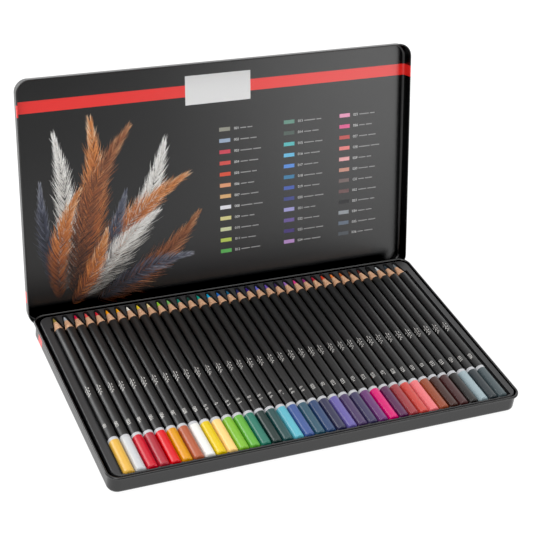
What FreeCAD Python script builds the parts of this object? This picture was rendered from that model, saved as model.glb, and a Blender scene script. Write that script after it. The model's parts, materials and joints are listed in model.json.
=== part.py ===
import FreeCAD, Part
import math
import os

# Colour pencil box: a flat hinged tin with a formed insert tray and a row of round colour pencils.
# Millimetres. +X runs along the row of pencils, +Y from the front of the tin to its hinge, +Z up.
# The origin is the centre of the tin's underside, and the lid is drawn open, on its stop.

# Pencils: a round wood casing on a thick colour core, sharpened at the end nearest the hinge.
pencil_count = 36
pencil_length = 175.0
pencil_diameter = 7.8
pencil_gap = 0.45
core_diameter = 3.3
glue_line = 0.05
point_length = 16.5
tip_radius = 0.4
end_rounding = 1.4

# Insert tray: one sheet formed into a row of grooves inside a flat band with a skirt.
tray_sheet = 0.6
tray_side_band = 5.15
side_ledge = 2.2
tray_end_band = 1.0
tray_edge_radius = 1.0
groove_clearance = 0.15
pencil_end_play = 0.7
ridge_drop = 1.45
band_rise = 1.75
front_comb_length = 0.75
back_comb_length = 13.2
recess_end_radius = 2.2
recess_taper_length = 13.0
groove_floor_height = 8.1

# The tray lies loose in the tin, pushed over towards the right-hand wall.
tray_gap_x = 1.5
tray_gap_y = 1.05
tray_shift = 1.1
tray_seat_clearance = 0.3

# Tin base: a drawn pan whose rim is curled outwards.
tin_sheet = 0.3
rim_rise = 0.8
base_corner_radius = 7.2
base_edge_radius = 3.0
curl_radius = 1.0
curl_end_angle = -110.0

# Tin lid: a shallower drawn pan that closes over the curled rim, with a folded hem.
lid_clearance = 0.4
lid_headroom = 0.65
lid_overlap = 8.0
lid_edge_radius = 2.2
hem_width = 1.0
hem_height = 2.2

# Two wire hinges, tucked under the curled rim on the back wall.
hinge_spread = 190.0
hinge_above_hem = 0.6
hinge_wall_gap = 0.1
pin_radius = 0.55
pin_clearance = 0.05
pin_head_radius = 0.85
pin_head_length = 0.6
knuckle_wall = 0.4
base_knuckle_length = 8.0
lid_knuckle_length = 12.0
knuckle_play = 0.3
lid_tongue_height = 3.0
notch_rise = 1.5
stop_gap = 0.08

# Sizes that follow from the ones above.
pencil_radius = pencil_diameter / 2
core_radius = core_diameter / 2
bore_radius = core_radius + glue_line
pencil_pitch = pencil_diameter + pencil_gap
row_span = (pencil_count - 1) * pencil_pitch
groove_radius = pencil_radius + groove_clearance
groove_length = pencil_length + 2 * pencil_end_play
tray_width = row_span + 2 * groove_radius + 2 * (side_ledge + tray_side_band)
tray_depth = groove_length + 2 * tray_end_band

base_inner_width = tray_width + 2 * tray_gap_x
base_inner_depth = tray_depth + 2 * tray_gap_y
pencil_axis_z = tin_sheet + groove_floor_height + groove_radius
ridge_top_z = pencil_axis_z - ridge_drop
tray_top_z = pencil_axis_z + band_rise
base_height = tray_top_z + rim_rise
curl_reach = 2 * curl_radius

lid_inner_width = base_inner_width + 2 * curl_reach + 2 * lid_clearance
lid_inner_depth = base_inner_depth + 2 * curl_reach + 2 * lid_clearance
lid_corner_radius = base_corner_radius + curl_reach + lid_clearance
lid_hem_z = base_height - lid_overlap
lid_top_z = pencil_axis_z + pencil_radius + lid_headroom + tin_sheet
hem_radius = hem_width / 2

knuckle_bore = pin_radius + pin_clearance
knuckle_radius = knuckle_bore + knuckle_wall
back_wall_y = base_inner_depth / 2 + tin_sheet
hinge_y = back_wall_y + knuckle_radius + hinge_wall_gap
hinge_z = lid_hem_z + hinge_above_hem
hinge_length = lid_knuckle_length + 2 * knuckle_play + 2 * base_knuckle_length

# The lid stops where the round of its hem meets the back wall, short of it by the stop gap.
hem_from_hinge_y = lid_inner_depth / 2 + hem_radius - hinge_y
hem_from_hinge_z = lid_hem_z + hem_radius - hinge_z
hem_swing = math.hypot(hem_from_hinge_y, hem_from_hinge_z)
hem_start = math.atan2(hem_from_hinge_z, hem_from_hinge_y)
hem_reach = knuckle_radius + hinge_wall_gap - hem_radius - stop_gap
lid_open_angle = math.degrees(hem_start + math.acos(-hem_reach / hem_swing))

LEVEL_TOLERANCE = 1e-6
AXIS_X = FreeCAD.Vector(1, 0, 0)
AXIS_Y = FreeCAD.Vector(0, 1, 0)
AXIS_Z = FreeCAD.Vector(0, 0, 1)
ORIGIN = FreeCAD.Vector(0, 0, 0)


def point(x, y, z):
    """A point in the part's frame."""
    return FreeCAD.Vector(x, y, z)


def box_between(low, high):
    """An upright box from its lowest corner to its highest corner."""
    size = high - low
    return Part.makeBox(size.x, size.y, size.z, low)


def arc_through(centre, radius, angles, place):
    """An arc on a circle, through three angles in degrees; place turns (u, v) into a point."""
    ends = []
    for angle in angles:
        u = centre[0] + radius * math.cos(math.radians(angle))
        v = centre[1] + radius * math.sin(math.radians(angle))
        ends.append(place(u, v))
    return Part.Arc(*ends).toShape()


def line_between(start, end, place):
    """A straight edge between two (u, v) pairs."""
    return Part.LineSegment(place(*start), place(*end)).toShape()


def rounded_block(width, depth, bottom, top, corner_radius):
    """A block centred on the Z axis, with round upright corners."""
    block = box_between(point(-width / 2, -depth / 2, bottom), point(width / 2, depth / 2, top))
    uprights = [edge for edge in block.Edges if edge.BoundBox.ZLength > LEVEL_TOLERANCE]
    return block.makeFillet(corner_radius, uprights)


def round_edges_at(block, level, radius):
    """Round the edges of a block that lie at one height."""
    edges = []
    for edge in block.Edges:
        box = edge.BoundBox
        if max(abs(box.ZMin - level), abs(box.ZMax - level)) < LEVEL_TOLERANCE:
            edges.append(edge)
    return block.makeFillet(radius, edges)


def drawn_pan(inner_width, inner_depth, height, corner_radius, edge_radius):
    """A pan of tin sheet that stands on z = 0, open at the top, with a rounded bottom edge."""
    outside = rounded_block(
        inner_width + 2 * tin_sheet, inner_depth + 2 * tin_sheet, 0, height, corner_radius + tin_sheet
    )
    inside = rounded_block(inner_width, inner_depth, tin_sheet, height + edge_radius, corner_radius)
    outside = round_edges_at(outside, 0, edge_radius)
    inside = round_edges_at(inside, tin_sheet, edge_radius - tin_sheet)
    return outside.cut(inside)


def carried_round(profile, half_width, half_depth, corner_radius):
    """A section with its back on the (u, z) plane's u = 0, carried round a rounded rectangle."""
    pieces = []
    for quarter in range(4):
        if quarter % 2 == 0:
            out, along = half_width, half_depth
        else:
            out, along = half_depth, half_width
        run = along - corner_radius
        section = profile.copy()
        section.translate(point(out, -run, 0))
        side = section.extrude(point(0, 2 * run, 0))
        section.translate(point(0, 2 * run, 0))
        corner = section.revolve(point(out - corner_radius, run, 0), AXIS_Z, 90)
        for piece in (side, corner):
            piece.rotate(ORIGIN, AXIS_Z, 90 * quarter)
            pieces.append(piece)
    return pieces


def section_place(u, v):
    """A point of a rim section: u outwards from the inner face, v up."""
    return point(u, 0, v)


def curl_section(wall_top):
    """The rim's open curl: the sheet turned over outwards and down, short of the wall."""
    centre = (curl_radius, wall_top)
    inner_radius = curl_radius - tin_sheet
    middle = (180 + curl_end_angle) / 2
    outer = arc_through(centre, curl_radius, (180, middle, curl_end_angle), section_place)
    inner = arc_through(centre, inner_radius, (curl_end_angle, middle, 180), section_place)
    tip = Part.LineSegment(outer.Vertexes[-1].Point, inner.Vertexes[0].Point).toShape()
    root = Part.LineSegment(inner.Vertexes[-1].Point, outer.Vertexes[0].Point).toShape()
    return Part.Face(Part.Wire(Part.__sortEdges__([outer, tip, inner, root])))


def hem_section(rim):
    """The lid's folded hem: a flat fold against the wall, rounded over at the rim."""
    shoulder = rim - hem_radius
    foot = rim - hem_height
    edges = [
        line_between((0, foot), (hem_width, foot), section_place),
        line_between((hem_width, foot), (hem_width, shoulder), section_place),
        arc_through((hem_radius, shoulder), hem_radius, (0, 90, 180), section_place),
        line_between((0, shoulder), (0, foot), section_place),
    ]
    return Part.Face(Part.Wire(edges))


def knuckle(start, length):
    """A curled hinge barrel on the hinge axis, from one place along X."""
    base = point(start, hinge_y, hinge_z)
    barrel = Part.makeCylinder(knuckle_radius, length, base, AXIS_X)
    return barrel.cut(Part.makeCylinder(knuckle_bore, length, base, AXIS_X))


def clear_bore(shape, centre):
    """Keep the pin's bore open through the tabs that join the barrels."""
    start = point(centre - hinge_length / 2, hinge_y, hinge_z)
    return shape.cut(Part.makeCylinder(knuckle_bore, hinge_length, start, AXIS_X))


def hinge_centres():
    """Places of the two hinges along X."""
    return (-hinge_spread / 2, hinge_spread / 2)


def base_hinge_pieces(centre):
    """Two tongues of the back wall, bent out and curled round the pin."""
    pieces = []
    starts = (centre - hinge_length / 2, centre + hinge_length / 2 - base_knuckle_length)
    for start in starts:
        foot = hinge_z - knuckle_radius
        tongue = box_between(
            point(start, back_wall_y - tin_sheet / 2, foot),
            point(start + base_knuckle_length, hinge_y, foot + knuckle_wall),
        )
        pieces.append(knuckle(start, base_knuckle_length))
        pieces.append(tongue)
    return pieces


def make_base():
    """The pan, its curled rim and the hinge tongues, all one drawn piece."""
    wall_top = base_height - curl_radius
    pan = drawn_pan(base_inner_width, base_inner_depth, wall_top, base_corner_radius, base_edge_radius)
    rim = carried_round(
        curl_section(wall_top), base_inner_width / 2, base_inner_depth / 2, base_corner_radius
    )
    hinges = []
    for centre in hinge_centres():
        hinges += base_hinge_pieces(centre)
    base = pan.multiFuse(rim + hinges)
    for centre in hinge_centres():
        base = clear_bore(base, centre)
    return base.removeSplitter()


def lid_hinge_notch(centre):
    """Room in the lid's back wall for the hinge barrels."""
    half = hinge_length / 2 + pin_head_length + 2 * knuckle_play
    return box_between(
        point(centre - half, hinge_y, lid_hem_z - hem_height),
        point(centre + half, lid_inner_depth / 2 + hem_width + tin_sheet, hinge_z + notch_rise),
    )


def lid_hinge_pieces(centre):
    """One tongue of the lid's back wall, curled round the pin."""
    start = centre - lid_knuckle_length / 2
    tongue = box_between(
        point(start, hinge_y + knuckle_bore, hinge_z),
        point(start + lid_knuckle_length, lid_inner_depth / 2 + tin_sheet, hinge_z + lid_tongue_height),
    )
    return [knuckle(start, lid_knuckle_length), tongue]


def make_lid():
    """The lid drawn closed over the base, then swung back on its hinge to its stop."""
    height = lid_top_z - lid_hem_z
    wall_top = height - hem_radius
    pan = drawn_pan(lid_inner_width, lid_inner_depth, wall_top, lid_corner_radius, lid_edge_radius)
    hem = carried_round(
        hem_section(height), lid_inner_width / 2, lid_inner_depth / 2, lid_corner_radius
    )
    lid = pan.multiFuse(hem)
    lid.rotate(ORIGIN, AXIS_X, 180)
    lid.translate(point(0, 0, lid_top_z))
    for centre in hinge_centres():
        lid = lid.cut(lid_hinge_notch(centre))
        lid = lid.multiFuse(lid_hinge_pieces(centre))
        lid = clear_bore(lid, centre)
    lid = lid.removeSplitter()
    lid.rotate(point(0, hinge_y, hinge_z), AXIS_X, -lid_open_angle)
    return lid


def make_hinge_pin(centre):
    """A wire pin with both ends headed over, held in the base's barrels."""
    half = hinge_length / 2 + knuckle_play / 2
    wire = Part.makeCylinder(pin_radius, 2 * half, point(centre - half, hinge_y, hinge_z), AXIS_X)
    heads = []
    for start in (centre - half - pin_head_length, centre + half):
        place = point(start, hinge_y, hinge_z)
        heads.append(Part.makeCylinder(pin_head_radius, pin_head_length, place, AXIS_X))
    return wire.multiFuse(heads).removeSplitter()


def groove_space(margin):
    """The space of one groove at x = 0, grown by a margin: open upwards, narrowed round the pencil's point."""
    radius = groove_radius + margin
    corner = end_rounding + groove_clearance
    blunt_end = -groove_length / 2 - margin
    corner_centre = (groove_radius - corner, -groove_length / 2 + corner)
    round_end = (0, groove_length / 2 - recess_end_radius)
    end_radius = recess_end_radius + margin
    taper_start = (0, round_end[1] - recess_taper_length)
    taper = math.degrees(math.asin((groove_radius - recess_end_radius) / recess_taper_length))

    def flat_place(u, v):
        return point(u, v, pencil_axis_z)

    def mirror_place(u, v):
        return point(-u, v, pencil_axis_z)

    def side_edges(place):
        shoulder = arc_through(taper_start, radius, (0, taper / 2, taper), place)
        end = arc_through(round_end, end_radius, (taper, (taper + 90) / 2, 90), place)
        flank = Part.LineSegment(shoulder.Vertexes[-1].Point, end.Vertexes[0].Point).toShape()
        return [
            line_between((0, blunt_end), (corner_centre[0], blunt_end), place),
            arc_through(corner_centre, corner + margin, (-90, -45, 0), place),
            line_between((radius, corner_centre[1]), (radius, taper_start[1]), place),
            shoulder,
            flank,
            end,
        ]

    spine = line_between((0, round_end[1] + end_radius), (0, blunt_end), flat_place)
    half_face = Part.Face(Part.Wire(side_edges(flat_place) + [spine]))
    trough = half_face.revolve(point(0, 0, pencil_axis_z), AXIS_Y, 360)
    outline = Part.__sortEdges__(side_edges(flat_place) + side_edges(mirror_place))
    rise = tray_top_z + groove_radius - pencil_axis_z
    mouth = Part.Face(Part.Wire(outline)).extrude(point(0, 0, rise))
    return trough.fuse(mouth).removeSplitter()


def groove_row(margin):
    """The space of the whole row of grooves, one per pencil."""
    row = []
    for index in range(pencil_count):
        groove = groove_space(margin)
        groove.translate(point(pencil_x(index) - tray_shift, 0, 0))
        row.append(groove)
    return row


def ridge_well(margin):
    """The space over the ridges and the ledges beside the row, short of the combed ends."""
    half_x = row_span / 2 + groove_radius + side_ledge + margin
    front = -groove_length / 2 + front_comb_length - margin
    back = groove_length / 2 - back_comb_length + margin
    return box_between(
        point(-half_x, front, ridge_top_z - margin), point(half_x, back, tray_top_z + groove_radius)
    )


def pencil_x(index):
    """Place of a pencil along X, counted from the left."""
    return tray_shift - row_span / 2 + index * pencil_pitch


def tray_skirt_foot():
    """Height where the skirt ends, just above the pan's rounded bottom edge."""
    inner_radius = base_edge_radius - tin_sheet
    least_gap = min(tray_gap_x - tray_shift, tray_gap_y)
    across = max(inner_radius - least_gap, 0)
    return tin_sheet + inner_radius - math.sqrt(inner_radius**2 - across**2) + tray_seat_clearance


def make_tray():
    """A formed sheet: grooves in a band with a skirt, hollow underneath."""
    foot = tray_skirt_foot()
    block = rounded_block(tray_width, tray_depth, foot, tray_top_z, base_corner_radius)
    block = round_edges_at(block, tray_top_z, tray_edge_radius)
    ceiling = tray_top_z - tray_sheet
    hollow = rounded_block(
        tray_width - 2 * tray_sheet,
        tray_depth - 2 * tray_sheet,
        foot - tray_sheet,
        ceiling,
        base_corner_radius - tray_sheet,
    )
    hollow = round_edges_at(hollow, ceiling, tray_edge_radius - tray_sheet)
    hollow = hollow.cut(groove_row(tray_sheet) + [ridge_well(tray_sheet)])
    tray = block.cut(groove_row(0) + [ridge_well(0)])
    tray = tray.cut(hollow).removeSplitter()
    tray.translate(point(tray_shift, 0, 0))
    return tray


def turned(outline, x):
    """A solid turned about a pencil's axis from an outline of edges."""
    return Part.Face(Part.Wire(outline)).revolve(point(x, 0, pencil_axis_z), AXIS_Y, 360)


def make_pencil(index):
    """A pencil with its tip towards the hinge: the wood casing and the core glued in it."""
    x = pencil_x(index)
    back = -pencil_length / 2
    tip = pencil_length / 2
    shoulder = tip - point_length
    slope = (pencil_radius - tip_radius) / point_length
    casing_edge = tip - (bore_radius - tip_radius) / slope
    core_edge = tip - (core_radius - tip_radius) / slope

    def place(u, v):
        return point(x + u, v, pencil_axis_z)

    rounding_centre = (pencil_radius - end_rounding, back + end_rounding)
    casing = [
        line_between((bore_radius, back), (rounding_centre[0], back), place),
        arc_through(rounding_centre, end_rounding, (-90, -45, 0), place),
        line_between((pencil_radius, rounding_centre[1]), (pencil_radius, shoulder), place),
        line_between((pencil_radius, shoulder), (bore_radius, casing_edge), place),
        line_between((bore_radius, casing_edge), (bore_radius, back), place),
    ]
    core = [
        line_between((0, back), (core_radius, back), place),
        line_between((core_radius, back), (core_radius, core_edge), place),
        line_between((core_radius, core_edge), (tip_radius, tip), place),
        line_between((tip_radius, tip), (0, tip), place),
        line_between((0, tip), (0, back), place),
    ]
    return Part.makeCompound([turned(casing, x), turned(core, x)])


def export(shape, node):
    """Write one sub-part under its node's name."""
    shape.exportStep(os.path.join("parts", node + ".step"))


os.makedirs("parts", exist_ok=True)
export(make_base(), "base_tin")
export(make_lid(), "lid_tin")
for side, hinge_centre in zip(("left", "right"), hinge_centres()):
    export(make_hinge_pin(hinge_centre), "hinge_pin_" + side)
export(make_tray(), "insert_tray")
for number in range(1, pencil_count + 1):
    export(make_pencil(number - 1), f"pencil_{number:02d}")

print("tin", round(lid_inner_width, 2), round(lid_inner_depth, 2), round(lid_top_z, 2))
print("hinge axis", round(hinge_y, 3), round(hinge_z, 3), "lid opens", round(lid_open_angle, 3))
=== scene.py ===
import json
import math

import bpy
import numpy as np
from mathutils import Matrix, Vector


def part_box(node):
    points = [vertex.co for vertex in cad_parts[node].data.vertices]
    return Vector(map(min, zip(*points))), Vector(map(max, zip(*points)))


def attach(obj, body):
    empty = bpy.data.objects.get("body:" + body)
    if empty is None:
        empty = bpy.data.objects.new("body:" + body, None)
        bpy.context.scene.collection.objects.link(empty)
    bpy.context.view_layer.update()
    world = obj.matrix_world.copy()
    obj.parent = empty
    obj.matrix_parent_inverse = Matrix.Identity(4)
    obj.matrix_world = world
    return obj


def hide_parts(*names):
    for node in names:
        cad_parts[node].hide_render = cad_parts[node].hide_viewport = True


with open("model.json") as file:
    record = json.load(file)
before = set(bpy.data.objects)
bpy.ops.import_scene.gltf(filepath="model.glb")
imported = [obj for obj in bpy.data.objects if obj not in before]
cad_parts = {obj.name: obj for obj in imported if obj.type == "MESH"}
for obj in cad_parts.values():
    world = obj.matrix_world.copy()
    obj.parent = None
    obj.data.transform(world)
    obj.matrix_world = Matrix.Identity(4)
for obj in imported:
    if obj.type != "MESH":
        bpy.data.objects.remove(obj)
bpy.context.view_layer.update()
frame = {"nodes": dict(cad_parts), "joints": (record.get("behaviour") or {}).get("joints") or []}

# Tin base: a shallow drawn pan of tinplate under satin black lacquer, its rim curled outwards.
# A red stripe is printed over the lacquer and runs down both end walls, near the hinge.
BLACK = (0.0026, 0.0026, 0.0028, 1.0)
BASE_STRIPE = (0.0676, 0.0766)
BASE_WALL_X = (0.15742, 0.1579)
BASE_BELOW_Z = -0.001
BASE_CURL_Z = 0.0128


def linear(red, green, blue):
    """Linear colour, alpha 1, of the 0 to 255 values that a screen shows: the sRGB curve taken off."""
    shown = np.array([red, green, blue]) / 255
    curve = np.where(shown <= 0.04045, shown / 12.92, ((shown + 0.055) / 1.055) ** 2.4)
    return (*curve.tolist(), 1.0)


STRIPE_RED = linear(229, 44, 40)


def add(tree, kind, sockets, **settings):
    """A new shader node: its settings, then each input socket's constant or the output linked to it."""
    made = tree.nodes.new(kind)
    for name, value in settings.items():
        setattr(made, name, value)
    for key, value in sockets.items():
        if isinstance(value, bpy.types.NodeSocket):
            tree.links.new(value, made.inputs[key])
        else:
            made.inputs[key].default_value = value
    return made


def start_group(name, inputs, outputs):
    """A node group with named sockets: inputs as (name, kind, default), outputs as (name, kind)."""
    tree = bpy.data.node_groups.new(name, "ShaderNodeTree")
    for label, kind, default in inputs:
        tree.interface.new_socket(label, in_out="INPUT", socket_type=kind).default_value = default
    for label, kind in outputs:
        tree.interface.new_socket(label, in_out="OUTPUT", socket_type=kind)
    return tree, tree.nodes.new("NodeGroupInput").outputs, tree.nodes.new("NodeGroupOutput").inputs


def use_group(tree, group, sockets):
    """A node that runs a group inside another tree."""
    made = tree.nodes.new("ShaderNodeGroup")
    made.node_tree = group
    for key, value in sockets.items():
        if isinstance(value, bpy.types.NodeSocket):
            tree.links.new(value, made.inputs[key])
        else:
            made.inputs[key].default_value = value
    return made.outputs


def start_material(name):
    """A material with its Principled BSDF on the output, and the Object coordinates its patterns use."""
    made = bpy.data.materials.new(name)
    made.use_nodes = True
    tree = made.node_tree
    tree.nodes.clear()
    shader = tree.nodes.new("ShaderNodeBsdfPrincipled")
    add(tree, "ShaderNodeOutputMaterial", {"Surface": shader.outputs["BSDF"]})
    place = tree.nodes.new("ShaderNodeTexCoord").outputs["Object"]
    return made, tree, shader.inputs, place


band_mask, band_in, band_out = start_group(
    "Band Mask",
    [
        ("Value", "NodeSocketFloat", 0.0),
        ("Low", "NodeSocketFloat", 0.0),
        ("High", "NodeSocketFloat", 1.0),
        ("Softness", "NodeSocketFloat", 0.00006),
    ],
    [("Mask", "NodeSocketFloat")],
)
low_end = add(band_mask, "ShaderNodeMath", {0: band_in["Low"], 1: band_in["Softness"]}, operation="ADD")
high_end = add(band_mask, "ShaderNodeMath", {0: band_in["High"], 1: band_in["Softness"]}, operation="ADD")
above_low = add(
    band_mask,
    "ShaderNodeMapRange",
    {"Value": band_in["Value"], "From Min": band_in["Low"], "From Max": low_end.outputs[0]},
    interpolation_type="SMOOTHSTEP",
)
below_high = add(
    band_mask,
    "ShaderNodeMapRange",
    {
        "Value": band_in["Value"],
        "From Min": band_in["High"],
        "From Max": high_end.outputs[0],
        "To Min": 1.0,
        "To Max": 0.0,
    },
    interpolation_type="SMOOTHSTEP",
)
in_band = add(
    band_mask, "ShaderNodeMath", {0: above_low.outputs[0], 1: below_high.outputs[0]}, operation="MULTIPLY"
)
band_mask.links.new(in_band.outputs[0], band_out["Mask"])

skin, skin_in, skin_out = start_group(
    "Coated Skin",
    [
        ("Vector", "NodeSocketVector", (0.0, 0.0, 0.0)),
        ("Grain Scale", "NodeSocketFloat", 1800.0),
        ("Grain Depth", "NodeSocketFloat", 0.000004),
        ("Roughness", "NodeSocketFloat", 0.35),
        ("Unevenness", "NodeSocketFloat", 0.06),
    ],
    [("Roughness", "NodeSocketFloat"), ("Normal", "NodeSocketVector")],
)
grain = add(
    skin, "ShaderNodeTexNoise", {"Vector": skin_in["Vector"], "Scale": skin_in["Grain Scale"], "Detail": 2.0}
)
grain_bump = add(
    skin,
    "ShaderNodeBump",
    {"Height": grain.outputs["Fac"], "Distance": skin_in["Grain Depth"], "Strength": 1.0},
)
cloud = add(skin, "ShaderNodeTexNoise", {"Vector": skin_in["Vector"], "Scale": 28.0, "Detail": 4.0})
swing = add(skin, "ShaderNodeMath", {0: cloud.outputs["Fac"], 1: 0.5}, operation="SUBTRACT")
uneven = add(
    skin,
    "ShaderNodeMath",
    {0: swing.outputs[0], 1: skin_in["Unevenness"], 2: skin_in["Roughness"]},
    operation="MULTIPLY_ADD",
)
skin.links.new(uneven.outputs[0], skin_out["Roughness"])
skin.links.new(grain_bump.outputs[0], skin_out["Normal"])


def lacquer(name, stripe_of):
    """Satin black lacquer with the red stripe where the mask that stripe_of makes is one."""
    made, tree, shader, place = start_material(name)
    coat = use_group(tree, skin, {"Vector": place, "Roughness": 0.25, "Unevenness": 0.03})
    paint = add(
        tree,
        "ShaderNodeMix",
        {"Factor": stripe_of(tree, place), "A": BLACK, "B": STRIPE_RED},
        data_type="RGBA",
    )
    tree.links.new(paint.outputs["Result"], shader["Base Color"])
    tree.links.new(coat["Roughness"], shader["Roughness"])
    tree.links.new(coat["Normal"], shader["Normal"])
    shader["IOR"].default_value = 1.6
    return made


def base_stripe(tree, place):
    """The base's stripe: a band of Y on the outside of both end walls, under the curled rim."""
    axes = add(tree, "ShaderNodeSeparateXYZ", {"Vector": place}).outputs
    band = use_group(tree, band_mask, {"Value": axes["Y"], "Low": BASE_STRIPE[0], "High": BASE_STRIPE[1]})
    out = add(tree, "ShaderNodeMath", {0: axes["X"]}, operation="ABSOLUTE")
    wall_low, wall_high = BASE_WALL_X
    wall = use_group(tree, band_mask, {"Value": out.outputs[0], "Low": wall_low, "High": wall_high})
    under = use_group(tree, band_mask, {"Value": axes["Z"], "Low": BASE_BELOW_Z, "High": BASE_CURL_Z})
    both = add(tree, "ShaderNodeMath", {0: band["Mask"], 1: wall["Mask"]}, operation="MULTIPLY")
    stripe = add(tree, "ShaderNodeMath", {0: both.outputs[0], 1: under["Mask"]}, operation="MULTIPLY")
    return stripe.outputs[0]


def wear(node_name, made):
    """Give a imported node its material."""
    piece = frame["nodes"][node_name]
    piece.data.materials.clear()
    piece.data.materials.append(made)
    return piece


base_tin = wear("base_tin", lacquer("tin_base_lacquer", base_stripe))

# Hinge pins: two short lengths of drawn steel wire in the curled tongues of the back wall.
# They are bare metal, headed over at both ends.
steel, _, steel_in, _ = start_material("hinge_steel")
steel_in["Base Color"].default_value = (0.52, 0.52, 0.54, 1.0)
steel_in["Metallic"].default_value = 1.0
steel_in["Roughness"].default_value = 0.32
for side in ("left", "right"):
    wear("hinge_pin_" + side, steel)

# Insert tray: one sheet of black plastic, formed over a tool, with a groove for each pencil.
# Its surface is matte with a fine leather-like grain, and it lies loose in the tin.
plastic, plastic_tree, plastic_in, plastic_place = start_material("tray_plastic")
plastic_in["Base Color"].default_value = (0.026, 0.026, 0.027, 1.0)
plastic_skin = use_group(
    plastic_tree,
    skin,
    {
        "Vector": plastic_place,
        "Grain Scale": 2600.0,
        "Grain Depth": 0.000012,
        "Roughness": 0.46,
        "Unevenness": 0.06,
    },
)
plastic_tree.links.new(plastic_skin["Roughness"], plastic_in["Roughness"])
plastic_tree.links.new(plastic_skin["Normal"], plastic_in["Normal"])
wear("insert_tray", plastic)

# Pencils: round wood casings in matte black lacquer, dipped at the blunt end in the pencil's own colour
# below a pale ring, and sharpened to bare wood and a thick colour core at the other end.
PENCIL_RADIUS = 0.0039
PENCIL_BACK = -0.0875
PENCIL_TIP = 0.0875
POINT_LENGTH = 0.0165
CORE_RADIUS = 0.00165
TIP_RADIUS = 0.0004
END_ROUNDING = 0.0014
END_HUB = 0.0006
END_MIDDLE = 0.6
END_CROWN = 0.00006
CAP_LENGTH = 0.0318
RING_LENGTH = 0.0026
RING_STEP = 0.00002
PAINT_STEP = 0.00003
BAND_GAP = 0.0001
CUT_EDGE = 0.0002
CUT_ROUND_IN = (0.00004, 0.00012)
CUT_ROUND_BACK = 0.00005
WOOD_END = (0.00003, 0.00012)
TIP_START = (0.0003, 0.0014)
RAGGED_REACH = 0.0003
RAGGED_HEIGHT = 0.00012
SHADE_HOLD = 0.0003
PENCIL_TURNS = 48
CAP, RING, BARREL, WOOD, CORE = range(5)
TURN_SEED = 36
TURN_SPREAD = 0.12
PRINT_TURN = -0.55
PRINT_LIFT = 0.000012
FIGURE_TO_FONT = 1.38
FIGURE_HEIGHT = 0.0026
FIGURES_AT = -0.0412
SPRIG_AT = 0.0025
SPRIG_LENGTH = 0.0112
SPRIG_WIDTH = 0.0024
SPRIG_LEAVES = 6
LEAF_SPAN = (0.12, 0.86)
LEAF_LEAN = math.radians(38)
LEAF_SIZE = 0.62
LEAF_SIZE_FALL = 0.3
LEAF_SLIMNESS = 0.55
LEAF_CORNERS = 12
STEM_HALF = (0.00011, 0.00006)
CAP_COLOURS = [
    (214, 168, 66), (190, 192, 194), (188, 4, 34), (164, 36, 50), (206, 8, 22), (208, 142, 0),
    (168, 86, 54), (224, 224, 219), (216, 186, 0), (240, 200, 122), (118, 176, 44), (92, 164, 52),
    (36, 112, 94), (26, 46, 43), (34, 72, 72), (88, 172, 188), (60, 84, 142), (44, 80, 98),
    (40, 64, 104), (44, 44, 74), (98, 88, 156), (70, 52, 92), (58, 52, 86), (98, 48, 106),
    (206, 8, 108), (84, 32, 76), (148, 52, 58), (192, 66, 58), (224, 112, 116), (142, 68, 40),
    (62, 36, 30), (66, 34, 34), (36, 34, 33), (148, 166, 172), (42, 50, 54), (68, 80, 84),
]
CORE_COLOURS = [
    (150, 128, 56), (176, 180, 186), (214, 0, 66), (242, 84, 84), (214, 30, 50), (250, 160, 0),
    (244, 168, 16), (244, 240, 230), (246, 216, 40), (250, 226, 160), (160, 214, 60), (130, 200, 110),
    (30, 140, 120), (24, 70, 58), (0, 158, 138), (20, 170, 220), (30, 110, 200), (24, 96, 130),
    (44, 44, 104), (56, 30, 130), (110, 110, 214), (110, 80, 180), (60, 40, 90), (160, 110, 190),
    (226, 60, 140), (150, 50, 120), (180, 30, 56), (226, 70, 40), (240, 130, 60), (190, 96, 40),
    (110, 66, 40), (100, 40, 34), (26, 26, 26), (200, 204, 206), (56, 66, 74), (120, 126, 130),
]


def straight(start, end, finish):
    """A straight band between two (radius, along) rings, held by a close ring at each end so that it
    shades flat."""
    hold = SHADE_HOLD / (end[1] - start[1])
    part = np.array([0.0, hold, 1.0 - hold, 1.0])
    return start[0] + (end[0] - start[0]) * part, start[1] + (end[1] - start[1]) * part, finish


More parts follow.
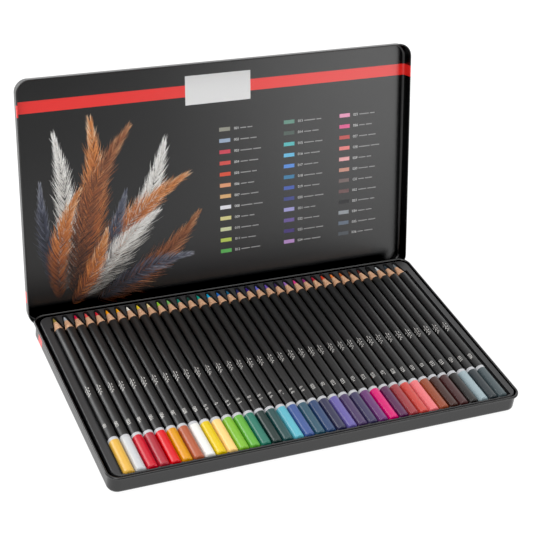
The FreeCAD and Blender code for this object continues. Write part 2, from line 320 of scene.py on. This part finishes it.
def pencil_profile():
    """Rings of a pencil from blunt end to tip as (radius, along), and the finish of each band between rings:
    a quarter-round end, the dipped cap, the ring, the barrel a paint's thickness lower, then a straight cone
    through wood and core to a tip rounded off by a half circle."""
    turn = np.linspace(0, math.pi / 2, 9)
    flat = PENCIL_RADIUS - END_ROUNDING
    end_r = np.concatenate([[END_HUB, flat * END_MIDDLE], flat + END_ROUNDING * np.sin(turn)])
    rounding = END_ROUNDING * (1 - np.cos(turn)) + END_CROWN * np.cos(turn)
    end_y = PENCIL_BACK + np.concatenate([[0.0, END_CROWN / 3], rounding])
    cap_end = PENCIL_BACK + CAP_LENGTH
    ring_end = cap_end + RING_LENGTH
    shoulder = PENCIL_TIP - POINT_LENGTH
    ring = PENCIL_RADIUS + RING_STEP
    barrel = PENCIL_RADIUS - PAINT_STEP
    slope = (PENCIL_RADIUS - TIP_RADIUS) / POINT_LENGTH
    core_edge = PENCIL_TIP - (CORE_RADIUS - TIP_RADIUS) / slope
    tip_turn = np.linspace(0, math.pi / 2, 6)[:-1]
    bands = [
        (end_r, end_y, CAP),
        straight((PENCIL_RADIUS, end_y[-1] + BAND_GAP), (PENCIL_RADIUS, cap_end - PAINT_STEP), CAP),
        straight((ring, cap_end), (ring, ring_end), RING),
        straight((barrel, ring_end + PAINT_STEP), (barrel, shoulder - CUT_EDGE), BARREL),
        (barrel - np.array(CUT_ROUND_IN), [shoulder - CUT_ROUND_BACK, shoulder], BARREL),
        straight(
            (barrel - CUT_EDGE, shoulder + BAND_GAP),
            (CORE_RADIUS + WOOD_END[0], core_edge - WOOD_END[1]),
            WOOD,
        ),
        straight((CORE_RADIUS, core_edge), (TIP_RADIUS + TIP_START[0], PENCIL_TIP - TIP_START[1]), CORE),
        (TIP_RADIUS * np.cos(tip_turn), PENCIL_TIP - TIP_RADIUS * (1 - np.sin(tip_turn)), CORE),
    ]
    radius = np.concatenate([np.asarray(b[0], float) for b in bands])
    along = np.concatenate([np.asarray(b[1], float) for b in bands])
    finish = np.concatenate([np.full(len(b[0]), b[2]) for b in bands])
    return radius, along, finish[1:]


def turned(radius, along, steps, ragged):
    """A surface turned about Y: ring k has radius k at its place along, cut in equal steps from +Z towards
    +X; ragged shifts each ring along by a wave of three and seven swings to the turn. Both ends are closed
    flat."""
    turn = np.linspace(0, 2 * math.pi, steps, endpoint=False)
    x = radius[:, None] * np.sin(turn)
    z = radius[:, None] * np.cos(turn)
    y = along[:, None] + ragged[:, None] * (np.sin(3 * turn + 0.6) + 0.6 * np.sin(7 * turn))
    points = np.stack([x, y, z], axis=-1).reshape(-1, 3)
    ring = np.arange(len(radius) - 1)[:, None] * steps
    step = np.arange(steps)
    after = (step + 1) % steps
    quads = np.stack([ring + step, ring + after, ring + steps + after, ring + steps + step], axis=-1)
    last = (len(radius) - 1) * steps
    faces = quads.reshape(-1, 4).tolist()
    faces.append(step[::-1].tolist())
    faces.append((last + step).tolist())
    return points, faces


def put(name, points, faces, materials, finish=None, smooth=True):
    """A mesh object in the part's frame, with a material number for each face."""
    mesh = bpy.data.meshes.new(name)
    mesh.from_pydata(np.asarray(points, float).tolist(), [], faces)
    for made in materials:
        mesh.materials.append(made)
    if finish is not None:
        mesh.polygons.foreach_set("material_index", np.asarray(finish, dtype=np.int32))
    mesh.polygons.foreach_set("use_smooth", np.full(len(mesh.polygons), smooth))
    mesh.update()
    made = bpy.data.objects.new(name, mesh)
    bpy.context.scene.collection.objects.link(made)
    return made


def plain(name, colour, roughness):
    """A material of one colour and one gloss."""
    made, _, shader, _ = start_material(name)
    shader["Base Color"].default_value = colour
    shader["Roughness"].default_value = roughness
    return made


def cedar():
    """Bare sharpened wood: pale tan, streaked lengthwise, with faint rings left by the blade."""
    made, tree, shader, place = start_material("pencil_wood")
    stretch = add(tree, "ShaderNodeVectorMath", {0: place, 1: (2600.0, 160.0, 2600.0)}, operation="MULTIPLY")
    streak = add(tree, "ShaderNodeTexNoise", {"Vector": stretch.outputs[0], "Scale": 1.0, "Detail": 4.0})
    tone = add(tree, "ShaderNodeValToRGB", {"Fac": streak.outputs["Fac"]})
    tone.color_ramp.elements[0].position = 0.3
    tone.color_ramp.elements[0].color = linear(184, 132, 96)
    tone.color_ramp.elements[1].position = 0.72
    tone.color_ramp.elements[1].color = linear(230, 190, 156)
    cut = add(tree, "ShaderNodeVectorMath", {0: place, 1: (300.0, 5200.0, 300.0)}, operation="MULTIPLY")
    blade = add(tree, "ShaderNodeTexNoise", {"Vector": cut.outputs[0], "Scale": 1.0, "Detail": 1.0})
    bump = add(tree, "ShaderNodeBump", {"Height": blade.outputs["Fac"], "Distance": 0.00006, "Strength": 0.6})
    tree.links.new(tone.outputs["Color"], shader["Base Color"])
    tree.links.new(bump.outputs[0], shader["Normal"])
    shader["Roughness"].default_value = 0.7
    return made


def barrel_lacquer():
    """Matte black lacquer on the casing."""
    made, tree, shader, place = start_material("pencil_barrel")
    coat = use_group(
        tree, skin, {"Vector": place, "Grain Scale": 3200.0, "Grain Depth": 0.000004, "Roughness": 0.42}
    )
    shader["Base Color"].default_value = (0.004, 0.004, 0.004, 1.0)
    shader["IOR"].default_value = 1.6
    tree.links.new(coat["Roughness"], shader["Roughness"])
    tree.links.new(coat["Normal"], shader["Normal"])
    return made


def letters(text, height):
    """Outline faces of a line of plain figures as flat points (u right, v up) and faces, centred across,
    with v from 0."""
    curve = bpy.data.curves.new("figures", "FONT")
    curve.body = text
    curve.size = height * FIGURE_TO_FONT
    holder = bpy.data.objects.new("figures", curve)
    bpy.context.scene.collection.objects.link(holder)
    mesh = bpy.data.meshes.new_from_object(holder.evaluated_get(bpy.context.evaluated_depsgraph_get()))
    flat = np.zeros(len(mesh.vertices) * 3)
    mesh.vertices.foreach_get("co", flat)
    flat = flat.reshape(-1, 3)[:, :2]
    faces = [list(face.vertices) for face in mesh.polygons]
    bpy.data.objects.remove(holder)
    bpy.data.curves.remove(curve)
    bpy.data.meshes.remove(mesh)
    middle = (flat[:, 0].min() + flat[:, 0].max()) / 2
    return flat - np.array([middle, flat[:, 1].min()]), faces


def sprig(length, width, leaves):
    """A stem with leaves on either side in turn, lying along u from 0: each leaf is an ellipse set out from
    the stem and leaning forward, its size falling evenly along the stem, and the stem is a thin bar."""
    turn = np.linspace(0, 2 * math.pi, LEAF_CORNERS, endpoint=False)
    place = np.linspace(*LEAF_SPAN, leaves)
    side = np.where(np.arange(leaves) % 2 == 0, 1.0, -1.0)
    size = width * (LEAF_SIZE - LEAF_SIZE_FALL * place)
    u = np.cos(turn)[None, :] * size[:, None]
    v = np.sin(turn)[None, :] * size[:, None] * LEAF_SLIMNESS
    leaf_u = place[:, None] * length + (u + size[:, None]) * math.cos(LEAF_LEAN) - v * math.sin(LEAF_LEAN)
    leaf_v = side[:, None] * ((u + size[:, None]) * math.sin(LEAF_LEAN) + v * math.cos(LEAF_LEAN))
    points = np.stack([leaf_u, leaf_v], axis=-1).reshape(-1, 2)
    faces = np.arange(leaves * LEAF_CORNERS).reshape(leaves, LEAF_CORNERS)
    faces = np.where(side[:, None] > 0, faces, faces[:, ::-1]).tolist()
    foot, end = STEM_HALF
    bar = np.array([[0, -foot], [length, -end], [length, end], [0, foot]])
    faces.append([len(points), len(points) + 1, len(points) + 2, len(points) + 3])
    return np.concatenate([points, bar]), faces


def wrap(flat, start, turn, axis_x, axis_z):
    """Flat print laid round a barrel: u runs from start towards the blunt end, v round the barrel from the
    turn."""
    radius = PENCIL_RADIUS - PAINT_STEP + PRINT_LIFT
    angle = turn + flat[:, 1] / radius
    x = axis_x + radius * np.sin(angle)
    z = axis_z + radius * np.cos(angle)
    return np.stack([x, start - flat[:, 0], z], axis=-1)


rings_r, rings_y, band_finish = pencil_profile()
from_shoulder = np.abs(rings_y - (PENCIL_TIP - POINT_LENGTH))
ragged_edge = np.where(from_shoulder < RAGGED_REACH, RAGGED_HEIGHT, 0.0)
pencil_points, pencil_faces = turned(rings_r, rings_y, PENCIL_TURNS, ragged_edge)
pencil_finish = np.concatenate([np.repeat(band_finish, PENCIL_TURNS), [CAP, CORE]])
ring_paint = plain("pencil_ring", linear(184, 185, 188), 0.4)
foil = plain("pencil_foil", linear(206, 204, 200), 0.35)
wood = cedar()
barrel_paint = barrel_lacquer()
sprig_flat, sprig_faces = sprig(SPRIG_LENGTH, SPRIG_WIDTH, SPRIG_LEAVES)
turn_rng = np.random.default_rng(TURN_SEED)
pencil_turns = turn_rng.uniform(-TURN_SPREAD, TURN_SPREAD, len(CAP_COLOURS))
for number, (cap_colour, core_colour) in enumerate(zip(CAP_COLOURS, CORE_COLOURS), start=1):
    node = f"pencil_{number:02d}"
    low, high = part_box(node)
    axis_x = (low.x + high.x) / 2
    axis_z = (low.z + high.z) / 2
    cap_paint = plain(f"cap_{number:02d}", linear(*cap_colour), 0.28)
    core = plain(f"core_{number:02d}", linear(*core_colour), 0.5)
    pencil = put(
        f"pencil_{number:02d}_look",
        pencil_points + np.array([axis_x, 0, axis_z]),
        pencil_faces,
        [cap_paint, ring_paint, barrel_paint, wood, core],
        pencil_finish,
    )
    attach(pencil, node + "_body")
    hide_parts(node)
    turn = PRINT_TURN + pencil_turns[number - 1]
    figures, figure_faces = letters(f"{number:03d}", FIGURE_HEIGHT)
    figures_at = wrap(figures - np.array([0, FIGURE_HEIGHT / 2]), FIGURES_AT, turn, axis_x, axis_z)
    sprig_at = wrap(sprig_flat, SPRIG_AT, turn, axis_x, axis_z)
    shifted = [[corner + len(figures_at) for corner in face] for face in sprig_faces]
    mark = put(
        f"pencil_{number:02d}_print", np.concatenate([figures_at, sprig_at]), figure_faces + shifted, [foil]
    )
    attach(mark, node + "_body")

# Tin lid: the shallower pan that closes over the curled rim, in the same satin black lacquer.
# The red stripe crosses its inner face near the front edge, and its outer face near the hinge.
lid_joint = next(joint for joint in frame["joints"] if joint["name"] == "lid_hinge")
LID_OPEN = math.radians(-lid_joint["range_deg"][0])
HINGE_Y = lid_joint["pos_m"][1]
HINGE_Z = lid_joint["pos_m"][2]
LID_EDGE_Y = 0.09365
LID_RIM_Z = 0.007
LID_PANEL_Z = 0.017
LID_MID_SHEET = 0.00015
LID_INNER_X = 0.159675
LID_INNER_ROUND = 0.0019
HEM_HEIGHT = 0.0022
INNER_STRIPE = (0.16024, 0.16921)
OUTER_STRIPE = (0.01705, 0.02605)


def on_lid(across, along, lift):
    """Places on the lid's inner face: across in X, along from the hinge edge, and a lift off the face. The
    place on the shut lid is swung back about the hinge line by the opening angle."""
    from_y = LID_EDGE_Y - along - HINGE_Y
    from_z = LID_PANEL_Z - lift - HINGE_Z
    y = HINGE_Y + from_y * math.cos(LID_OPEN) + from_z * math.sin(LID_OPEN)
    z = HINGE_Z - from_y * math.sin(LID_OPEN) + from_z * math.cos(LID_OPEN)
    return np.stack(np.broadcast_arrays(across, y, z), axis=-1)


def lid_stripe(tree, place):
    """The lid's stripes, by the distance along the lid: one band on what faces inwards and on the hem, which
    is the inner face folded out, and another on the outside. A point faces inwards where its distance past
    the centre of the rounded edge is less than the radius to the middle of the sheet."""
    corner = on_lid(0.0, 0.0, LID_PANEL_Z - LID_RIM_Z)
    axes = add(tree, "ShaderNodeSeparateXYZ", {"Vector": place}).outputs
    reach = add(tree, "ShaderNodeVectorMath", {0: place, 1: tuple(corner)}, operation="SUBTRACT")
    run = (0.0, -math.cos(LID_OPEN), math.sin(LID_OPEN))
    rise = (0.0, math.sin(LID_OPEN), math.cos(LID_OPEN))
    run_dot = add(tree, "ShaderNodeVectorMath", {0: reach.outputs[0], 1: run}, operation="DOT_PRODUCT")
    rise_dot = add(tree, "ShaderNodeVectorMath", {0: reach.outputs[0], 1: rise}, operation="DOT_PRODUCT")
    along = run_dot.outputs["Value"]
    up = rise_dot.outputs["Value"]
    inner_band = use_group(tree, band_mask, {"Value": along, "Low": INNER_STRIPE[0], "High": INNER_STRIPE[1]})
    outer_band = use_group(tree, band_mask, {"Value": along, "Low": OUTER_STRIPE[0], "High": OUTER_STRIPE[1]})
    out = add(tree, "ShaderNodeMath", {0: axes["X"]}, operation="ABSOLUTE")
    section = add(tree, "ShaderNodeCombineXYZ", {"X": out.outputs[0], "Y": up})
    round_centre = (LID_INNER_X - LID_INNER_ROUND, LID_PANEL_Z - LID_RIM_Z - LID_INNER_ROUND, 0.0)
    past = add(tree, "ShaderNodeVectorMath", {0: section.outputs[0], 1: round_centre}, operation="SUBTRACT")
    beyond = add(tree, "ShaderNodeVectorMath", {0: past.outputs[0], 1: (0.0, 0.0, 0.0)}, operation="MAXIMUM")
    depth = add(tree, "ShaderNodeVectorMath", {0: beyond.outputs[0]}, operation="LENGTH").outputs["Value"]
    mid_round = LID_INNER_ROUND + LID_MID_SHEET
    inside = add(tree, "ShaderNodeMath", {0: depth, 1: mid_round}, operation="LESS_THAN")
    hem = add(tree, "ShaderNodeMath", {0: up, 1: HEM_HEIGHT}, operation="LESS_THAN")
    inward = add(tree, "ShaderNodeMath", {0: inside.outputs[0], 1: hem.outputs[0]}, operation="MAXIMUM")
    both = add(
        tree,
        "ShaderNodeMix",
        {"Factor": inward.outputs[0], "A": outer_band["Mask"], "B": inner_band["Mask"]},
        data_type="FLOAT",
    )
    return both.outputs["Result"]


lid_tin = wear("lid_tin", lacquer("tin_lid_lacquer", lid_stripe))

# Lid label: a bare white plate over the middle of the inner stripe.
# It is a flat field of ink, printed on the lid's inner face.
LABEL_ACROSS = (-0.0281, 0.0255)
LABEL_ALONG = (0.1538, 0.1763)
INK_LIFT = 0.00002
label_across = np.array([LABEL_ACROSS[0], LABEL_ACROSS[1], LABEL_ACROSS[1], LABEL_ACROSS[0]])
label_along = np.array([LABEL_ALONG[0], LABEL_ALONG[0], LABEL_ALONG[1], LABEL_ALONG[1]])
label = put(
    "lid_label",
    on_lid(label_across, label_along, INK_LIFT),
    [[0, 1, 2, 3]],
    [plain("label_white", linear(219, 219, 219), 0.38)],
    smooth=False,
)
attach(label, "lid")

# Colour chart: three columns of small colour fields on the lid's inner face, in the order of the pencils.
# Each field has its plain number and two short rules beside it.
CHART_LEFT = np.array([-0.00095, 0.0537, 0.10251])
CHART_TOP = 0.13205
CHART_PITCH = 0.00895
CHART_ROWS = 12
FIELD_WIDTH = 0.0092
FIELD_HEIGHT = 0.003
FIELD_COLOURS = [
    (142, 142, 130), (150, 168, 190), (202, 66, 84), (208, 78, 72), (216, 78, 54), (222, 154, 114),
    (218, 172, 118), (228, 228, 234), (216, 208, 142), (206, 212, 168), (186, 206, 90), (92, 178, 88),
    (104, 146, 132), (84, 98, 92), (92, 186, 188), (108, 188, 224), (94, 146, 222), (66, 128, 168),
    (76, 100, 178), (70, 78, 138), (166, 162, 216), (110, 92, 156), (74, 60, 124), (186, 144, 204),
    (230, 156, 188), (224, 100, 148), (192, 88, 86), (234, 132, 130), (234, 170, 172), (200, 144, 128),
    (118, 102, 100), (112, 84, 84), (44, 44, 46), (152, 158, 164), (104, 116, 132), (84, 90, 96),
]
NUMBER_HEIGHT = 0.0021
NUMBER_AT = 0.01435
RULE_AT = 0.0176
RULE_HEIGHT = 0.0008
RULE_DROP = 0.0002
RULE_GAP = 0.001
FIRST_RULE = 0.0050
SECOND_RULE = 0.0052
RULE_STEP = 0.0012


def ink(name):
    """Printing ink that takes its colour from the mesh's own ink attribute."""
    made, tree, shader, _ = start_material(name)
    colour = add(tree, "ShaderNodeAttribute", {}, attribute_name="ink")
    tree.links.new(colour.outputs["Color"], shader["Base Color"])
    shader["Roughness"].default_value = 0.45
    return made


def colour_points(made, colours):
    """Store a colour for each point of a mesh as its ink attribute."""
    layer = made.data.attributes.new("ink", "FLOAT_COLOR", "POINT")
    layer.data.foreach_set("color", np.asarray(colours, dtype=np.float32).ravel())


chart_index = np.arange(len(FIELD_COLOURS))
field_left = CHART_LEFT[chart_index // CHART_ROWS]
field_middle = CHART_TOP - CHART_PITCH * (chart_index % CHART_ROWS)
field_across = field_left[:, None] + np.array([0, FIELD_WIDTH, FIELD_WIDTH, 0])
field_along = field_middle[:, None] + np.array([-1, -1, 1, 1]) * FIELD_HEIGHT / 2
fields = put(
    "lid_chart_fields",
    on_lid(field_across.ravel(), field_along.ravel(), INK_LIFT),
    np.arange(len(FIELD_COLOURS) * 4).reshape(-1, 4).tolist(),
    [ink("chart_ink")],
    smooth=False,
)
field_ink = np.array([linear(*colour) for colour in FIELD_COLOURS])
colour_points(fields, np.repeat(field_ink, 4, axis=0))
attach(fields, "lid")

figure_points = []
figure_faces = []
figure_count = 0
for number in range(1, len(FIELD_COLOURS) + 1):
    flat, faces = letters(f"{number:03d}", NUMBER_HEIGHT)
    row = number - 1
    flat = flat + np.array([field_left[row] + NUMBER_AT, field_middle[row] - NUMBER_HEIGHT / 2])
    figure_faces += [[corner + figure_count for corner in face] for face in faces]
    figure_points.append(flat)
    figure_count += len(flat)
chart_flat = np.concatenate(figure_points)
chart_numbers = put(
    "lid_chart_numbers",
    on_lid(chart_flat[:, 0], chart_flat[:, 1], INK_LIFT),
    figure_faces,
    [plain("chart_white", linear(216, 216, 216), 0.45)],
    smooth=False,
)
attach(chart_numbers, "lid")

first_start = np.full(len(FIELD_COLOURS), RULE_AT)
first_end = RULE_AT + FIRST_RULE + RULE_STEP * (chart_index * 7 % 5)
second_start = first_end + RULE_GAP
second_end = first_end + SECOND_RULE + RULE_STEP * (chart_index * 5 % 4)
first_rule = np.stack([first_start, first_end, first_end, first_start], axis=-1)
second_rule = np.stack([second_start, second_end, second_end, second_start], axis=-1)
rule_across = np.concatenate([field_left[:, None] + first_rule, field_left[:, None] + second_rule])
rule_along = field_middle[:, None] + np.array([-1, -1, 1, 1]) * RULE_HEIGHT / 2 - RULE_DROP
rules = put(
    "lid_chart_rules",
    on_lid(rule_across.ravel(), np.tile(rule_along, (2, 1)).ravel(), INK_LIFT),
    np.arange(len(FIELD_COLOURS) * 8).reshape(-1, 4).tolist(),
    [plain("chart_grey", linear(150, 150, 150), 0.45)],
    smooth=False,
)
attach(rules, "lid")

# Lid picture: a generic drawing in fine colour-pencil strokes, a spray of feathers across the left half.
# Rust, brown, pale and dark strokes lie over each other on the black lacquer.
FEATHERS = [
    ((-0.133, 0.016), (-0.144, 0.106), 0.003, 0.0115, 150, "dark"),
    ((-0.130, 0.014), (-0.132, 0.142), -0.006, 0.016, 220, "pale"),
    ((-0.126, 0.012), (-0.104, 0.150), -0.010, 0.020, 260, "rust"),
    ((-0.122, 0.012), (-0.074, 0.142), 0.012, 0.019, 240, "brown"),
    ((-0.118, 0.010), (-0.046, 0.128), -0.012, 0.020, 260, "pale"),
    ((-0.114, 0.010), (-0.028, 0.100), 0.012, 0.018, 240, "rust"),
    ((-0.110, 0.008), (-0.020, 0.068), -0.010, 0.017, 220, "brown"),
    ((-0.104, 0.008), (-0.026, 0.036), 0.006, 0.013, 160, "dark"),
    ((-0.132, 0.010), (-0.114, 0.098), 0.008, 0.014, 200, "rust"),
    ((-0.124, 0.008), (-0.078, 0.092), -0.006, 0.014, 200, "dark"),
    ((-0.116, 0.008), (-0.052, 0.074), 0.006, 0.013, 190, "pale"),
    ((-0.126, 0.006), (-0.094, 0.064), -0.004, 0.012, 160, "rust"),
]
PICTURE_SEED = 7
PICTURE_DEPTH = 0.0001
BARB_STEPS = 6
BARB_FROM, BARB_TO = 0.06, 0.99
BARB_SCATTER = 0.006
BARB_SPREAD = 52
BARB_SPREAD_FALL = 34
BARB_SPREAD_SCATTER = 0.07
BARB_LENGTH = 0.34
BARB_LENGTH_SWELL = 0.9
BARB_LENGTH_SCATTER = (0.72, 1.12)
BARB_HALF_WIDTH = (0.00016, 0.00034)
BARB_CURL = (0.1, 0.7)
FEATHER_TONES = {
    "rust": [linear(60, 30, 22), linear(164, 88, 42), linear(212, 134, 70), linear(236, 210, 180)],
    "brown": [linear(30, 20, 18), linear(98, 54, 34), linear(150, 88, 52), linear(204, 158, 118)],
    "pale": [linear(92, 88, 86), linear(196, 192, 186), linear(232, 230, 226), linear(250, 250, 248)],
    "dark": [linear(20, 20, 26), linear(46, 48, 62), linear(88, 92, 108), linear(160, 162, 170)],
}


def strokes(start, heading, length, curl, half_width, steps):
    """Tapered strokes. Each sets out from its start on its heading, which turns evenly by the curl over the
    stroke's length; the half width swells to full a quarter of the way along and thins out to the end."""
    s = np.linspace(0, 1, steps)
    angle = heading[:, None] + curl[:, None] * s
    step = length[:, None] / (steps - 1)
    x = start[:, :1] + np.cumsum(np.cos(angle) * step, axis=1) - np.cos(angle) * step
    y = start[:, 1:] + np.cumsum(np.sin(angle) * step, axis=1) - np.sin(angle) * step
    half = half_width[:, None] * np.interp(s, [0, 0.25, 1], [0.4, 1.0, 0.06])
    right = np.stack([x + half * np.sin(angle), y - half * np.cos(angle)], axis=-1)
    left = np.stack([x - half * np.sin(angle), y + half * np.cos(angle)], axis=-1)
    points = np.stack([right, left], axis=2)
    first = (np.arange(len(start))[:, None] * steps + np.arange(steps - 1)) * 2
    faces = np.stack([first, first + 2, first + 3, first + 1], axis=-1)
    return points.reshape(-1, 2), faces.reshape(-1, 4), np.tile(np.repeat(s, 2), len(start))


def feather(foot, tip, bend, width, count, tones, rng):
    """A feather's strokes: barbs set out on both sides of a quill, a curve from foot to tip pushed sideways
    by the bend. A barb's length follows a half sine along the quill, it leans towards the tip, and its
    colour darkens towards the foot."""
    foot, tip = np.array(foot), np.array(tip)
    chord = tip - foot
    across = np.array([-chord[1], chord[0]]) / np.hypot(*chord)
    middle = (foot + tip) / 2 + across * bend * 2
    even = np.tile(np.linspace(BARB_FROM, BARB_TO, count), 2)
    t = np.sort(np.clip(even + rng.normal(0, BARB_SCATTER, 2 * count), 0.02, 1))
    side = np.where(np.arange(2 * count) % 2 == 0, 1.0, -1.0)
    quill = (1 - t)[:, None] ** 2 * foot + 2 * (t * (1 - t))[:, None] * middle + t[:, None] ** 2 * tip
    along = 2 * (1 - t)[:, None] * (middle - foot) + 2 * t[:, None] * (tip - middle)
    heading = np.arctan2(along[:, 1], along[:, 0])
    spread = np.radians(BARB_SPREAD - BARB_SPREAD_FALL * t) + rng.normal(0, BARB_SPREAD_SCATTER, 2 * count)
    swell = BARB_LENGTH + BARB_LENGTH_SWELL * np.sin(np.pi * t**0.85)
    length = width * swell * rng.uniform(*BARB_LENGTH_SCATTER, 2 * count)
    half = rng.uniform(*BARB_HALF_WIDTH, 2 * count)
    curl = -side * rng.uniform(*BARB_CURL, 2 * count)
    points, faces, s = strokes(quill, heading + side * spread, length, curl, half, BARB_STEPS)
    tone = np.clip(0.12 + 0.62 * t + rng.normal(0, 0.16, 2 * count), 0, 1)
    tone = np.clip(np.repeat(tone, 2 * BARB_STEPS) + 0.30 * (s - 0.4), 0, 1)
    stops = np.linspace(0, 1, len(tones))
    colour = np.stack([np.interp(tone, stops, [c[k] for c in tones]) for k in range(4)], axis=-1)
    shade = np.interp(t, [0, 0.4], [0.12, 1.0])
    colour[:, :3] *= np.repeat(shade, 2 * BARB_STEPS)[:, None]
    return points, faces, colour


picture_rng = np.random.default_rng(PICTURE_SEED)
picture_points = []
picture_faces = []
picture_inks = []
picture_count = 0
for foot, tip, bend, width, count, tones in FEATHERS:
    points, faces, colour = feather(foot, tip, bend, width, count, FEATHER_TONES[tones], picture_rng)
    picture_points.append(points)
    picture_faces.append(faces + picture_count)
    picture_inks.append(colour)
    picture_count += len(points)
picture_flat = np.concatenate(picture_points)
picture_lift = INK_LIFT + PICTURE_DEPTH * np.arange(len(picture_flat)) / len(picture_flat)
picture = put(
    "lid_picture",
    on_lid(picture_flat[:, 0], picture_flat[:, 1], picture_lift),
    np.concatenate(picture_faces).tolist(),
    [ink("picture_ink")],
    smooth=False,
)
colour_points(picture, np.concatenate(picture_inks))
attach(picture, "lid")

# Stage: a plain white floor that glows a little, soft boxes behind and in front, and the camera where the
# photo was taken. The surroundings are bright behind the tin and dim on the camera's side.
FLOOR_REACH = 6.0
FLOOR_Z = -0.0002
FLOOR_GLOW = 0.93
floor_white = plain("floor_white", (0.12, 0.12, 0.12, 1.0), 0.8)
floor_shader = floor_white.node_tree.nodes["Principled BSDF"].inputs
floor_shader["Emission Color"].default_value = (1.0, 1.0, 1.0, 1.0)
floor_shader["Emission Strength"].default_value = FLOOR_GLOW
floor = put(
    "floor",
    np.array([[-1, -1, 0], [1, -1, 0], [1, 1, 0], [-1, 1, 0]]) * FLOOR_REACH + np.array([0, 0, FLOOR_Z]),
    [[0, 1, 2, 3]],
    [floor_white],
    smooth=False,
)

BLACK_POINT = 0.004
SKY_FRONT = 0.36
SKY_BACK = 1.12
SKY_TURN = (-0.4, 0.3)
scene = bpy.context.scene
world = bpy.data.worlds.new("studio")
world.use_nodes = True
sky_tree = world.node_tree
sky_heading = sky_tree.nodes.new("ShaderNodeTexCoord").outputs["Generated"]
sky_axes = add(sky_tree, "ShaderNodeSeparateXYZ", {"Vector": sky_heading}).outputs
sky_level = add(
    sky_tree,
    "ShaderNodeMapRange",
    {
        "Value": sky_axes["Y"],
        "From Min": SKY_TURN[0],
        "From Max": SKY_TURN[1],
        "To Min": SKY_FRONT,
        "To Max": SKY_BACK,
    },
    interpolation_type="SMOOTHSTEP",
)
sky = sky_tree.nodes["Background"].inputs
sky["Color"].default_value = (1.0, 1.0, 1.0, 1.0)
sky_tree.links.new(sky_level.outputs[0], sky["Strength"])
scene.world = world
scene.view_settings.view_transform = "Standard"
scene.view_settings.use_curve_mapping = True
scene.view_settings.curve_mapping.black_level = (BLACK_POINT, BLACK_POINT, BLACK_POINT)
scene.view_settings.curve_mapping.update()


def soft_box(name, place, aim, width, height, brightness):
    """An oblong lamp at a place, turned to face an aim point; its power follows from its brightness."""
    lamp = bpy.data.lights.new(name, "AREA")
    lamp.shape = "RECTANGLE"
    lamp.size = width
    lamp.size_y = height
    lamp.energy = brightness * math.pi * width * height
    made = bpy.data.objects.new(name, lamp)
    made.location = place
    made.rotation_euler = (Vector(aim) - Vector(place)).to_track_quat("-Z", "Y").to_euler()
    scene.collection.objects.link(made)


soft_box("top_light", (0.0, -0.25, 1.8), (0.0, 0.0, 0.0), 2.4, 1.0, 1.8)
soft_box("left_light", (-1.2, 1.5, 0.7), (0.0, 0.0, 0.0), 1.3, 0.9, 4.0)
soft_box("right_light", (1.55, -1.75, 0.3), (0.0, 0.05, 0.08), 1.4, 0.9, 2.3)
soft_box("camera_side_light", (-0.9, -1.3, 1.5), (0.0, 0.0, 0.05), 1.0, 1.0, 3.8)

CAMERA_PLACE = Vector((-0.415287, -0.750905, 0.677487))
CAMERA_RIGHT = Vector((0.916722, -0.38571, 0.104157))
CAMERA_AHEAD = Vector((0.37745, 0.750659, -0.542257))
CAMERA_LENS = 98.765
CAMERA_SHIFT = (0.0403, -0.075)
camera_data = bpy.data.cameras.new("camera")
camera_data.lens = CAMERA_LENS
camera_data.sensor_width = 36.0
camera_data.shift_x, camera_data.shift_y = CAMERA_SHIFT
camera = bpy.data.objects.new("camera", camera_data)
camera_up = CAMERA_RIGHT.cross(CAMERA_AHEAD).normalized()
camera_axes = Matrix((CAMERA_RIGHT, camera_up, -CAMERA_AHEAD)).transposed()
camera.matrix_world = Matrix.Translation(CAMERA_PLACE) @ camera_axes.to_4x4()
scene.collection.objects.link(camera)
scene.camera = camera
